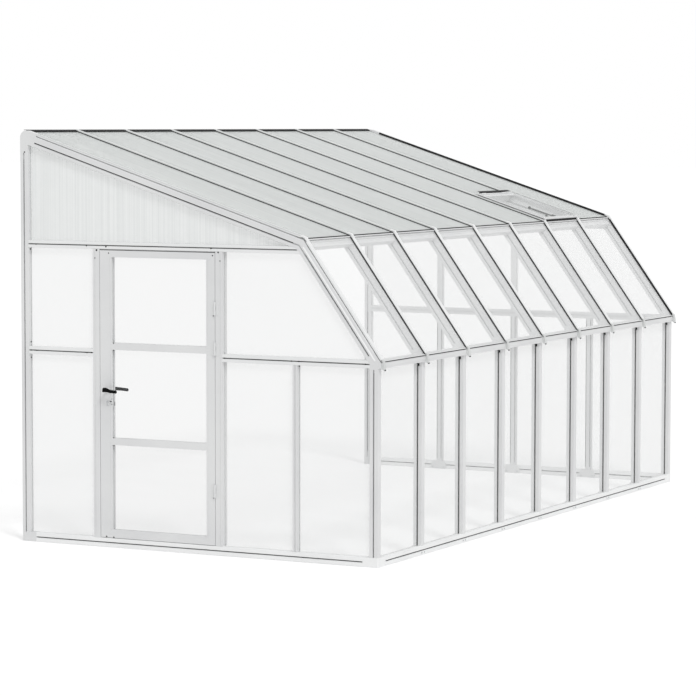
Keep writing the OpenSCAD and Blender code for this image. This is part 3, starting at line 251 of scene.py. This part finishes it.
def islands(node):
    """Corner points of each separate solid of a node."""
    mesh = NODES[node].data
    keys = [tuple(round(part, 5) for part in vertex.co) for vertex in mesh.vertices]
    parent = {key: key for key in keys}

    def root(key):
        while parent[key] != key:
            key = parent[key]
        return key

    for polygon in mesh.polygons:
        corners = [root(keys[i]) for i in polygon.vertices]
        for corner in corners[1:]:
            parent[root(corner)] = root(corners[0])
    groups = {}
    for key in parent:
        groups.setdefault(root(key), []).append(Vector(key))
    return list(groups.values())


def add_to_scene(thing):
    bpy.context.scene.collection.objects.link(thing)


def new_piece(name, build, material, body="frame"):
    """A mesh object that build(bm) fills, riding on a body."""
    mesh = bpy.data.meshes.new(name)
    bm = bmesh.new()
    build(bm)
    bm.to_mesh(mesh)
    bm.free()
    mesh.materials.append(MATERIALS[material])
    piece = bpy.data.objects.new(name, mesh)
    add_to_scene(piece)
    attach(piece, body)
    return piece


def add_prism(bm, corners, step):
    """A prism with the given outline and thickness vector."""
    lower = [bm.verts.new(corner) for corner in corners]
    upper = [bm.verts.new(corner + step) for corner in corners]
    count = len(corners)
    bm.faces.new(lower)
    bm.faces.new(reversed(upper))
    for i in range(count):
        j = (i + 1) % count
        bm.faces.new((lower[j], lower[i], upper[i], upper[j]))


# Flutes of the twin-wall sheets: their pitch, the thickness of a rib and of a wall, and the least height

FLUTE_PITCH = 16 * MM
RIB = 0.5 * MM
WALL = 0.7 * MM
LEAST_RIB = 4 * MM

# How far the points of an end face may lie apart in x, and the y span below which an edge is upright

END_FACE = 1 * MM
UPRIGHT = 1e-9


def end_section(points):
    """Points of a solid that lie on its end face towards -X."""
    x0 = min(p.x for p in points)
    return [p for p in points if p.x < x0 + END_FACE]


def sheet_axes(points):
    """Lowest corner, long side and short side of a sloping sheet's section."""
    section = end_section(points)
    low = min(section, key=lambda p: p.y + p.z)
    others = sorted((p for p in section if p is not low), key=lambda p: (p - low).length)
    return low, others[1] - low, others[0] - low


def roof_flutes(bm):
    """Ribs up the slope between the two walls of each roof sheet."""
    for points in islands("roof_sheets"):
        x0 = min(p.x for p in points)
        x1 = max(p.x for p in points)
        corner, run, rise = sheet_axes(points)
        inset = rise.normalized() * WALL
        tall = rise - 2 * inset
        count = int((x1 - x0) / FLUTE_PITCH)
        for i in range(count):
            x = x0 + (i + 0.5) * (x1 - x0) / count
            base = Vector((x, corner.y, corner.z)) + inset
            outline = [base, base + run, base + run + tall, base + tall]
            add_prism(bm, outline, Vector((RIB, 0, 0)))


def crossing(outline, y):
    """Lowest and highest z of a convex (y, z) outline at one y."""
    heights = []
    for (y0, z0), (y1, z1) in zip(outline, outline[1:] + outline[:1]):
        if min(y0, y1) <= y <= max(y0, y1) and abs(y1 - y0) > UPRIGHT:
            heights.append(z0 + (z1 - z0) * (y - y0) / (y1 - y0))
    return min(heights), max(heights)


def gable_flutes(bm):
    """Upright ribs between the two walls of each gable triangle."""
    for points in islands("gable_triangles"):
        x0 = min(p.x for p in points) + WALL
        x1 = max(p.x for p in points) - WALL
        flat = [Vector((p.y, p.z)) for p in end_section(points)]
        outline = [tuple(flat[i]) for i in convex_hull_2d(flat)]
        y0 = min(y for y, z in outline)
        y1 = max(y for y, z in outline)
        count = int((y1 - y0) / FLUTE_PITCH)
        for i in range(count):
            y = y0 + (i + 0.5) * (y1 - y0) / count
            low, high = crossing(outline, y)
            high = min(high, crossing(outline, y + RIB)[1])
            if high - low < LEAST_RIB:
                continue
            foot, top = low + WALL, high - WALL
            corners = [Vector((x, y, z)) for x, z in ((x0, foot), (x1, foot), (x1, top), (x0, top))]
            add_prism(bm, corners, Vector((0, RIB, 0)))


# The frame in its own millimetres, as in part.scad: x along the front, y inward, z up. First the middle
# of the part's box, which is the scene's origin

MID_X = 2432.75
MID_Y = 1265

# Bays, widths of a bar and of half a cap, depth of a post, and the frame's length and depth

BAYS = 8
BAY = 610
BAR = 42
HALF_BAR = BAR / 2
CAP_HALF = 15
POST = 58
LENGTH = BAYS * BAY + BAR
DEPTH = 2566

# Reach of a base corner, height of the base, foot and height of the other rails, foot of the eave elbows

CORNER = 104
BASE_H = 59
MID_Z = 1213
MID_H = 48
UPPER_Z = 1897
UPPER_H = 44
ELBOW_Z = 1205

# Depth of a groove, and the middle of the end bars' groove below the slope's plane

SLOT = 5
SLOPE_SLOT = 47

# The two slopes: pitches, length of the steep one, their lower edges as (y, z), and the end of the rake

STEEP_PITCH = math.radians(54.1)
ROOF_PITCH = math.radians(17.77)
STEEP_LEN = 909
EAVE = (-20, 1251)
BEND = (EAVE[0] + STEEP_LEN * math.cos(STEEP_PITCH), EAVE[1] + STEEP_LEN * math.sin(STEEP_PITCH))
TOP_CONNECTOR = 66
RAKE_END = (DEPTH - POST - BEND[0]) / math.cos(ROOF_PITCH) - TOP_CONNECTOR

# The vent's bay, and its lid: sides, front and rear edge up the roof slope, heights above the slope's plane

VENT_X0 = 3681
VENT_X1 = 4291
LID_OVER = 5
LID_X0 = VENT_X0 - LID_OVER
LID_X1 = VENT_X1 + LID_OVER
LID_FRONT = -5
LID_REAR = 557
LID_LOW = 16
LID_TOP = 26


def at(x, y, z):
    """A place in the frame's millimetres, as a vector in the scene."""
    return Vector((x - MID_X, y - MID_Y, z)) * MM


def slope_at(foot, pitch, s, h):
    """Point s up a slope and h below its plane, as (y, z)."""
    along, up = math.cos(pitch), math.sin(pitch)
    return foot[0] + s * along + h * up, foot[1] + s * up - h * along


def steep_at(s, h):
    return slope_at(EAVE, STEEP_PITCH, s, h)


def roof_at(s, h):
    return slope_at(BEND, ROOF_PITCH, s, h)


def add_block(bm, x0, x1, y0, y1, z0, z1):
    """Block between two places on each axis."""
    corners = [at(x0, y0, z0), at(x0, y1, z0), at(x0, y1, z1), at(x0, y0, z1)]
    add_prism(bm, corners, Vector((x1 - x0, 0, 0)) * MM)


def add_slope_block(bm, place, x0, x1, s0, s1, h0, h1):
    """Block on a slope, between two distances up it and two depths below its plane."""
    corners = [at(x0, *place(s, h)) for s, h in ((s0, h0), (s1, h0), (s1, h1), (s0, h1))]
    add_prism(bm, corners, Vector((x1 - x0, 0, 0)) * MM)


def ends(x0, x1):
    """A span of x at the near gable, and its mirror at the far gable."""
    return (x0, x1), (LENGTH - x1, LENGTH - x0)


# Dark strips on the floors of the grooves, painted shade in the empty grooves: thickness, half width, and
# room at connectors and at posts

STRIP = 1.5
STRIP_HALF = 2.2
CORNER_ROOM = CORNER + 4
POST_ROOM = POST + 2

# Heights of the grooves in the rails, and the posts' grooves, as (y, upper end), with the strips' foot

BASE_GROOVE = BASE_H / 2
MID_GROOVE = MID_Z + MID_H / 2
UPPER_GROOVE = UPPER_Z + UPPER_H / 2
POST_GROOVES = ((31, ELBOW_Z - 20), (DEPTH - 27, 2460))
POST_FOOT = BASE_H + 2

# Where the upper rail's strip starts, and the outer sides of the door's jambs

UPPER_START = 560
JAMB_FRONT = 1079
JAMB_WALL = 2027

# Spans of the end bars' strips up the two slopes

STEEP_STRIP = (80, STEEP_LEN - 80)
ROOF_STRIP = (64, RAKE_END - 2)


def add_level_strip(bm, x0, x1, y0, y1, z):
    """Strip along a level groove whose middle is at z."""
    add_block(bm, x0, x1, y0, y1, z - STRIP_HALF, z + STRIP_HALF)


def groove_shade_strips(bm):
    """Dark strips on the floors of the open grooves in the outer faces: painted shade where the grooves
    hold no pane.
    """
    for x0, x1 in ends(SLOT - STRIP, SLOT):
        add_level_strip(bm, x0, x1, CORNER_ROOM, DEPTH - CORNER_ROOM, BASE_GROOVE)
        add_level_strip(bm, x0, x1, UPPER_START, DEPTH - POST, UPPER_GROOVE)
    for y0, y1 in ((POST_ROOM, JAMB_FRONT), (JAMB_WALL, DEPTH - POST_ROOM)):
        add_level_strip(bm, SLOT - STRIP, SLOT, y0, y1, MID_GROOVE)
    far = LENGTH - SLOT
    add_level_strip(bm, far, far + STRIP, POST_ROOM, DEPTH - POST_ROOM, MID_GROOVE)
    for x0, x1 in ends(2 * SLOT - STRIP, 2 * SLOT):
        for y, top in POST_GROOVES:
            add_block(bm, x0, x1, y - STRIP_HALF, y + STRIP_HALF, POST_FOOT, top)
        for place, span in ((steep_at, STEEP_STRIP), (roof_at, ROOF_STRIP)):
            add_slope_block(bm, place, x0, x1, *span, SLOPE_SLOT - STRIP_HALF, SLOPE_SLOT + STRIP_HALF)
    add_level_strip(bm, CORNER_ROOM, LENGTH - CORNER_ROOM, SLOT - STRIP, SLOT, BASE_GROOVE)
    inside = LENGTH - BAR + SLOT
    add_level_strip(bm, inside - STRIP, inside, CORNER_ROOM, DEPTH - CORNER_ROOM, BASE_GROOVE)


# Spans of the end bars' caps up the two slopes

STEEP_CAP = (14, STEEP_LEN - 26)
RAKE_CAP = (26, RAKE_END)

# Lip of a cap: thickness, upper and lower edge

LIP = 3
LIP_TOP = -6
LIP_FOOT = -0.2

# Black strips of painted shade on the far caps: upper edges on the two slopes, and width and thickness of
# the flange on top

STEEP_SHADE_EDGE = -12
RAKE_SHADE_EDGE = -14
FLANGE = 8
FLANGE_THICK = 1


def rake_lips(bm):
    """White lips that close the outer caps against the end bars."""
    for x0, x1 in ends(HALF_BAR - CAP_HALF, HALF_BAR - CAP_HALF + LIP):
        add_slope_block(bm, steep_at, x0, x1, *STEEP_CAP, LIP_TOP, LIP_FOOT)
        add_slope_block(bm, roof_at, x0, x1, *RAKE_CAP, LIP_TOP, LIP_FOOT)


def far_rake_shade(bm):
    """Black strips up the inner sides of the far end's caps, and over part of the upper one: painted shade
    along the far rake.
    """
    x = LENGTH - HALF_BAR - CAP_HALF
    add_slope_block(bm, steep_at, x - STRIP, x, *STEEP_CAP, STEEP_SHADE_EDGE, 0)
    add_slope_block(bm, roof_at, x - STRIP, x, *RAKE_CAP, RAKE_SHADE_EDGE, 0)
    add_slope_block(bm, roof_at, x - STRIP, x + FLANGE, *RAKE_CAP, RAKE_SHADE_EDGE, RAKE_SHADE_EDGE + FLANGE_THICK)


# Beads across a bay, as two distances up the steep slope and two depths: at the bend and at the eave

BEADS = ((STEEP_LEN - 12, STEEP_LEN - 4, -2.2, -1.1), (4.5, 10.4, -0.9, -0.03))


def bend_beads(bm):
    """Pale beads over part of the strips at the bend and at the eave."""
    for i in range(BAYS):
        x0 = i * BAY + HALF_BAR + CAP_HALF
        x1 = (i + 1) * BAY + HALF_BAR - CAP_HALF
        for bead in BEADS:
            add_slope_block(bm, steep_at, x0, x1, *bead)


# Strips of the vent lid, partly painted shade under its edges, and a block of painted shade behind its
# hinge, as (x0, x1, s0, s1, h0, h1) on the roof slope

LID_STRIPS = (
    (LID_X0 - 1, LID_X0, LID_FRONT + 2, LID_REAR - 2, -LID_LOW - 3.5, -LID_LOW),
    (LID_X1 - 6, LID_X1 - 3, LID_FRONT + 40, LID_REAR - 4, -LID_TOP - 1, -LID_TOP),
    (VENT_X0 + 23, VENT_X1 - 23, LID_FRONT - 1, LID_FRONT, -17, -5),
)
TOP_SHADE_FRONT = LID_REAR + 21
TOP_SHADE_UNDER = -LID_TOP + 2
LID_TOP_SHADE = (
    (VENT_X0 + 98, VENT_X1 + 17, TOP_SHADE_FRONT, TOP_SHADE_FRONT + 28, -LID_TOP, TOP_SHADE_UNDER),
    (VENT_X0 + 130, VENT_X1 - 30, TOP_SHADE_FRONT + 24, TOP_SHADE_FRONT + 26, TOP_SHADE_UNDER, 0),
)


def lid_strips(bm):
    """Dark strips of the vent lid: painted shade of the gap under the lid down its left side and across its
    front lip, and a dark line on top of its right edge.
    """
    for block in LID_STRIPS:
        add_slope_block(bm, roof_at, *block)


def lid_top_shade(bm):
    """Black block on a thin leg behind the hinge of the vent lid: painted shade along the lid's upper edge.
    """
    for block in LID_TOP_SHADE:
        add_slope_block(bm, roof_at, *block)


# Strips on the far gable's inner faces: thickness, half width, the one on the wall post as (y, foot), and
# the pairs on the other posts, by the posts' middles, the strips' distance from them and their foot

FAR_THICK = 1
FAR_HALF = 1.5
WALL_STRIP = (2536, 100)
FAR_POSTS = tuple(656 + 627 * k for k in range(3))
FAR_SIDE = 17
FAR_FOOT = 80


def far_strips(bm):
    """Dark strips up the inner faces of the far gable's posts."""
    face = LENGTH - BAR
    spots = [WALL_STRIP]
    for post in FAR_POSTS:
        spots += [(post - FAR_SIDE, FAR_FOOT), (post + FAR_SIDE, FAR_FOOT)]
    for y, foot in spots:
        add_block(bm, face - FAR_THICK, face, y - FAR_HALF, y + FAR_HALF, foot, ELBOW_Z)


# Bead on the near steep bar, with a painted highlight: span up the slope, middle depth, half width, how far
# it stands out, facets

BEAD_SPAN = (30, STEEP_LEN - 40)
BEAD_MIDDLE = 31
BEAD_HALF = 6
BEAD_OUT = 3
BEAD_FACETS = 8


def bead_end(bm, s):
    """Half circle of points across the bead, s up the steep slope."""
    points = []
    for k in range(BEAD_FACETS + 1):
        a = math.pi * k / BEAD_FACETS
        y, z = steep_at(s, BEAD_MIDDLE - BEAD_HALF * math.cos(a))
        points.append(bm.verts.new(at(-BEAD_OUT * math.sin(a), y, z)))
    return points


def near_beads(bm):
    """Rounded bead along the face of the near steep bar, painted pale as a highlight."""
    first, last = [bead_end(bm, s) for s in BEAD_SPAN]
    for k in range(BEAD_FACETS):
        bm.faces.new((first[k], first[k + 1], last[k + 1], last[k]))
    bm.faces.new((first[0], last[0], last[-1], first[-1]))
    bm.faces.new(reversed(first))
    bm.faces.new(last)


def circle(count):
    """Angles of count points round a circle."""
    return [2 * math.pi * k / count for k in range(count)]


# Dark dots on the near gable: facets, thickness, and each one as (y, z, radius)

DOT_SIDES = 10
DOT_THICK = 1.2
GABLE_DOTS = (
    (2450, 1918, 4), (2070, 1915, 4), (1925, 1912, 5), (1161, 1916, 4.5), (2491, 1886, 5),
    (2532, 2505, 4.5), (2007, 1839, 3.5), (1097, 1840, 3.5), (2491, 1290, 4.5), (2491, 1190, 4),
    (1110, 1893, 5), (1995, 1889, 6), (2451, 1236, 3.5), (2070, 1236, 3.5), (540, 1208, 4),
)

# Thickness and places of those on the door, and two dark marks at its lock, as (y0, y1, z0, z1)

DOOR_DOT_THICK = 1.0
DOOR_DOTS = (
    (1872, 1302, 3.5), (1872, 1258, 3.5), (1872, 701, 3.5), (1872, 652, 3.5), (1930, 68, 5),
    (1876, 66, 4.5), (1145, 360, 3.5), (1145, 1498, 3.5), (1150, 1872, 4), (1905, 1872, 4),
    (1886, 948, 2.5), (1886, 912, 2.5),
)
LOCK_MARKS = ((1862, 1866, 906, 930), (1888, 1904, 930, 934))


def add_disc(bm, y, z, radius, thick):
    """Low disc that lies on the near gable's face and looks towards -X."""
    corners = [at(0, y + radius * math.cos(a), z + radius * math.sin(a)) for a in circle(DOT_SIDES)]
    add_prism(bm, corners, Vector((-thick, 0, 0)) * MM)


def gable_dots(bm):
    for y, z, radius in GABLE_DOTS:
        add_disc(bm, y, z, radius, DOT_THICK)


def door_dots(bm):
    for y, z, radius in DOOR_DOTS:
        add_disc(bm, y, z, radius, DOOR_DOT_THICK)
    for mark in LOCK_MARKS:
        add_block(bm, -DOT_THICK, 0, *mark)


# Painted shade under a hook's tip and at the upper end of a post's strip, as (x0, x1, y0, y1, z0, z1) from
# the bar's middle

HOOK_TIP_SHADE = (3, CAP_HALF - 2, -35.5, -29, 1199, 1206)
STRIP_END_SHADE = (-HALF_BAR - 2.5, -HALF_BAR - 1.05, 18, 28.6, 1186, 1202)


def hook_tips(bm):
    """Dark marks of painted shade under the hooks' tips, and at the upper ends of the post strips."""
    for block, first in ((HOOK_TIP_SHADE, 0), (STRIP_END_SHADE, 1)):
        for i in range(first, BAYS + 1):
            x = i * BAY + HALF_BAR
            add_block(bm, x + block[0], x + block[1], *block[2:])


# Rings of the outer and the inner lever's grip, as (y, z, half width, half height), and both with their x

OUTER_GRIP = ((1822, 998, 6, 8), (1826, 998, 7.8, 10), (1870, 1000, 7.8, 10.5), (1886, 1005, 7.8, 12),
              (1898, 1010, 7.8, 13), (1919, 1011, 7, 11), (1924, 1011, 4, 6))
INNER_GRIP = ((1822, 1001, 6, 8), (1826, 1001, 7.8, 10), (1919, 1007, 7.8, 10.5), (1924, 1007, 4, 6))
GRIPS = ((-50, OUTER_GRIP), (92, INNER_GRIP))
GRIP_SIDES = 20


def lever_grips(bm):
    """Grips round both levers, the outer one thicker at the hub."""
    for x, outline in GRIPS:
        rings = [[bm.verts.new(at(x + wide * math.cos(a), y, z + tall * math.sin(a)))
                  for a in circle(GRIP_SIDES)] for y, z, wide, tall in outline]
        for lower, upper in zip(rings, rings[1:]):
            for k in range(GRIP_SIDES):
                n = (k + 1) % GRIP_SIDES
                bm.faces.new((lower[k], lower[n], upper[n], upper[k]))
        bm.faces.new(reversed(rings[0]))
        bm.faces.new(rings[-1])


def camera_turn():
    """Rotation of the camera as a 4x4 matrix."""
    yaw = math.radians(CAMERA_YAW)
    pitch = math.radians(CAMERA_PITCH)
    roll = math.radians(CAMERA_ROLL)
    ahead = Vector((math.cos(yaw) * math.cos(pitch), math.sin(yaw) * math.cos(pitch), math.sin(pitch)))
    level = ahead.cross(Vector((0, 0, 1))).normalized()
    above = level.cross(ahead)
    right = level * math.cos(roll) + above * math.sin(roll)
    up = above * math.cos(roll) - level * math.sin(roll)
    return Matrix((right, up, -ahead)).transposed().to_4x4()


def make_camera():
    data = bpy.data.cameras.new("camera")
    data.sensor_width = CAMERA_SENSOR
    data.lens = CAMERA_LENS
    data.clip_end = CAMERA_REACH
    camera = bpy.data.objects.new("camera", data)
    camera.matrix_world = Matrix.Translation(CAMERA_PLACE) @ camera_turn()
    add_to_scene(camera)
    bpy.context.scene.camera = camera


def seen_directly(tree):
    """1 for rays from the camera, and for its reflections and views through glass."""
    path = tree.nodes.new("ShaderNodeLightPath")
    seen = path.outputs["Is Camera Ray"]
    for kind in ("Is Glossy Ray", "Is Transmission Ray"):
        either = tree.nodes.new("ShaderNodeMath")
        either.operation = "MAXIMUM"
        tree.links.new(seen, either.inputs[0])
        tree.links.new(path.outputs[kind], either.inputs[1])
        seen = either.outputs[0]
    return seen


def make_world():
    world = bpy.data.worlds.new("studio")
    world.use_nodes = True
    tree = world.node_tree
    tree.nodes.clear()
    output = tree.nodes.new("ShaderNodeOutputWorld")
    background = tree.nodes.new("ShaderNodeBackground")
    background.inputs["Color"].default_value = (1, 1, 1, 1)
    strength = spread(tree, seen_directly(tree), WORLD_STRENGTH, BACKDROP)
    tree.links.new(strength, background.inputs["Strength"])
    tree.links.new(background.outputs[0], output.inputs["Surface"])
    bpy.context.scene.world = world


def floor_material():
    """Pale and matt, with a lift that only the camera sees."""
    material = bpy.data.materials.new("pale_floor")
    material.use_nodes = True
    tree = material.node_tree
    tree.nodes.clear()
    output = tree.nodes.new("ShaderNodeOutputMaterial")
    diffuse = tree.nodes.new("ShaderNodeBsdfDiffuse")
    diffuse.inputs["Color"].default_value = FLOOR_COLOUR
    glow = tree.nodes.new("ShaderNodeEmission")
    strength = spread(tree, seen_directly(tree), 0.0, FLOOR_LIFT)
    tree.links.new(strength, glow.inputs["Strength"])
    both = tree.nodes.new("ShaderNodeAddShader")
    tree.links.new(diffuse.outputs[0], both.inputs[0])
    tree.links.new(glow.outputs[0], both.inputs[1])
    tree.links.new(both.outputs[0], output.inputs["Surface"])
    return material


def make_floor():
    mesh = bpy.data.meshes.new("floor")
    bm = bmesh.new()
    h = FLOOR_HALF
    bm.faces.new([bm.verts.new((x, y, FLOOR_Z)) for x, y in ((-h, -h), (h, -h), (h, h), (-h, h))])
    bm.to_mesh(mesh)
    bm.free()
    mesh.materials.append(floor_material())
    floor = bpy.data.objects.new("floor", mesh)
    add_to_scene(floor)


def make_sun():
    data = bpy.data.lights.new("sun", "SUN")
    data.energy = SUN_STRENGTH
    data.angle = math.radians(SUN_ANGLE)
    sun = bpy.data.objects.new("sun", data)
    azimuth = math.radians(SUN_AZIMUTH)
    height = math.radians(SUN_HEIGHT)
    level = math.cos(height)
    toward = Vector((-math.cos(azimuth) * level, -math.sin(azimuth) * level, math.sin(height)))
    sun.rotation_mode = "QUATERNION"
    sun.rotation_quaternion = toward.to_track_quat("Z", "Y")
    add_to_scene(sun)


dress_frame()
let_light_through(new_piece("roof_flutes", roof_flutes, "twinwall"))
let_light_through(new_piece("gable_flutes", gable_flutes, "twinwall"))
new_piece("groove_shade_strips", groove_shade_strips, "gasket")
new_piece("rake_lips", rake_lips, "cap")
new_piece("far_rake_shade", far_rake_shade, "gasket")
new_piece("bend_beads", bend_beads, "resin")
new_piece("lid_strips", lid_strips, "gasket", "vent")
new_piece("lid_top_shade", lid_top_shade, "gasket")
new_piece("far_strips", far_strips, "gasket")
# The near bead takes the pale resin as a painted highlight
new_piece("near_beads", near_beads, "cap").data.materials[0] = PALE_RESIN_AND_HIGHLIGHT
new_piece("gable_dots", gable_dots, "black_metal")
new_piece("door_dots", door_dots, "black_metal", "door")
new_piece("hook_tips", hook_tips, "gasket")
new_piece("lever_grips", lever_grips, "black_metal", "lever")
make_camera()
make_world()
make_floor()
make_sun()

bpy.context.scene.view_settings.view_transform = "Standard"
